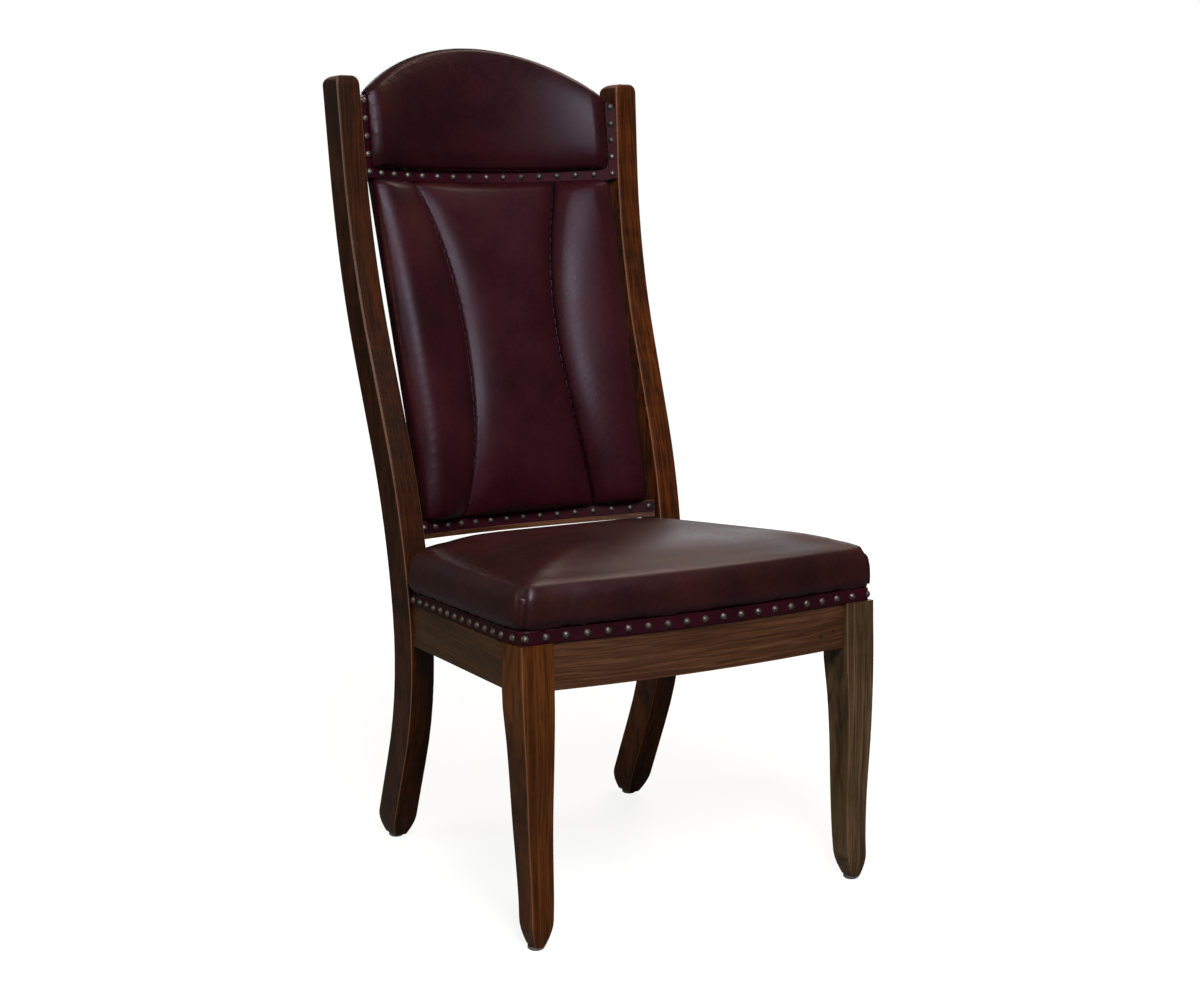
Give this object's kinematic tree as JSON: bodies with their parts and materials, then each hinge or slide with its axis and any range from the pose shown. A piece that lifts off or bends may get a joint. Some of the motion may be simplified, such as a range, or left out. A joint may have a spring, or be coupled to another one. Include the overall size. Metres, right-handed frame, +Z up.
{
  "type": "upholstered side chair",
  "caption": "Tall-backed upholstered side chair: curved wooden posts, crowned leather seat, waisted channel back, arched padded crest, leather bands with dome nails.",
  "frame": {"origin": "on the floor at the centre of the bounding box", "axes": "+Z up, -Y the way the sitter faces, +X to the sitter's left"},
  "size_m": [0.573, 0.7059, 1.1887],
  "materials": {
    "show_wood": "stained hardwood under a satin lacquer, fine straight grain",
    "frame_wood": "unfinished hardwood frame pieces",
    "plywood": "unfinished plywood",
    "seat_leather": "smooth dark oxblood leather with a soft sheen",
    "back_leather": "smooth dark oxblood leather with a soft sheen",
    "crest_leather": "smooth dark oxblood leather with a soft sheen",
    "outside_leather": "smooth dark oxblood leather, flat outside panels",
    "band_leather": "smooth deep burgundy leather band",
    "nail_metal": "dome nail heads with an antique bronze finish",
    "glide_metal": "plain nickel-plated glides",
    "screw_steel": "plain zinc-plated screws",
    "dust_cloth": "thin black non-woven dust cloth"
  },
  "bodies": {
    "root": {"back_post_left": "show_wood", "back_post_right": "show_wood", "front_leg_left": "show_wood", "front_leg_right": "show_wood", "front_seat_rail": "show_wood", "left_seat_rail": "show_wood", "right_seat_rail": "show_wood", "rear_seat_rail": "show_wood", "front_left_block": "frame_wood", "front_right_block": "frame_wood", "rear_left_block": "frame_wood", "rear_right_block": "frame_wood", "block_screws": "screw_steel", "seat_screws": "screw_steel", "seat_board": "plywood", "seat_cushion": "seat_leather", "seat_band": "band_leather", "seat_nails": "nail_metal", "dust_cover": "dust_cloth", "crest_rail": "frame_wood", "crest_cushion": "crest_leather", "crest_band": "band_leather", "crest_nails": "nail_metal", "crest_cover": "outside_leather", "lower_back_rail": "show_wood", "back_panel": "plywood", "back_cushion": "back_leather", "lower_back_band": "band_leather", "lower_back_nails": "nail_metal", "back_cover": "outside_leather", "front_left_glide": "glide_metal", "front_right_glide": "glide_metal", "rear_left_glide": "glide_metal", "rear_right_glide": "glide_metal"}
  },
  "joints": []
}
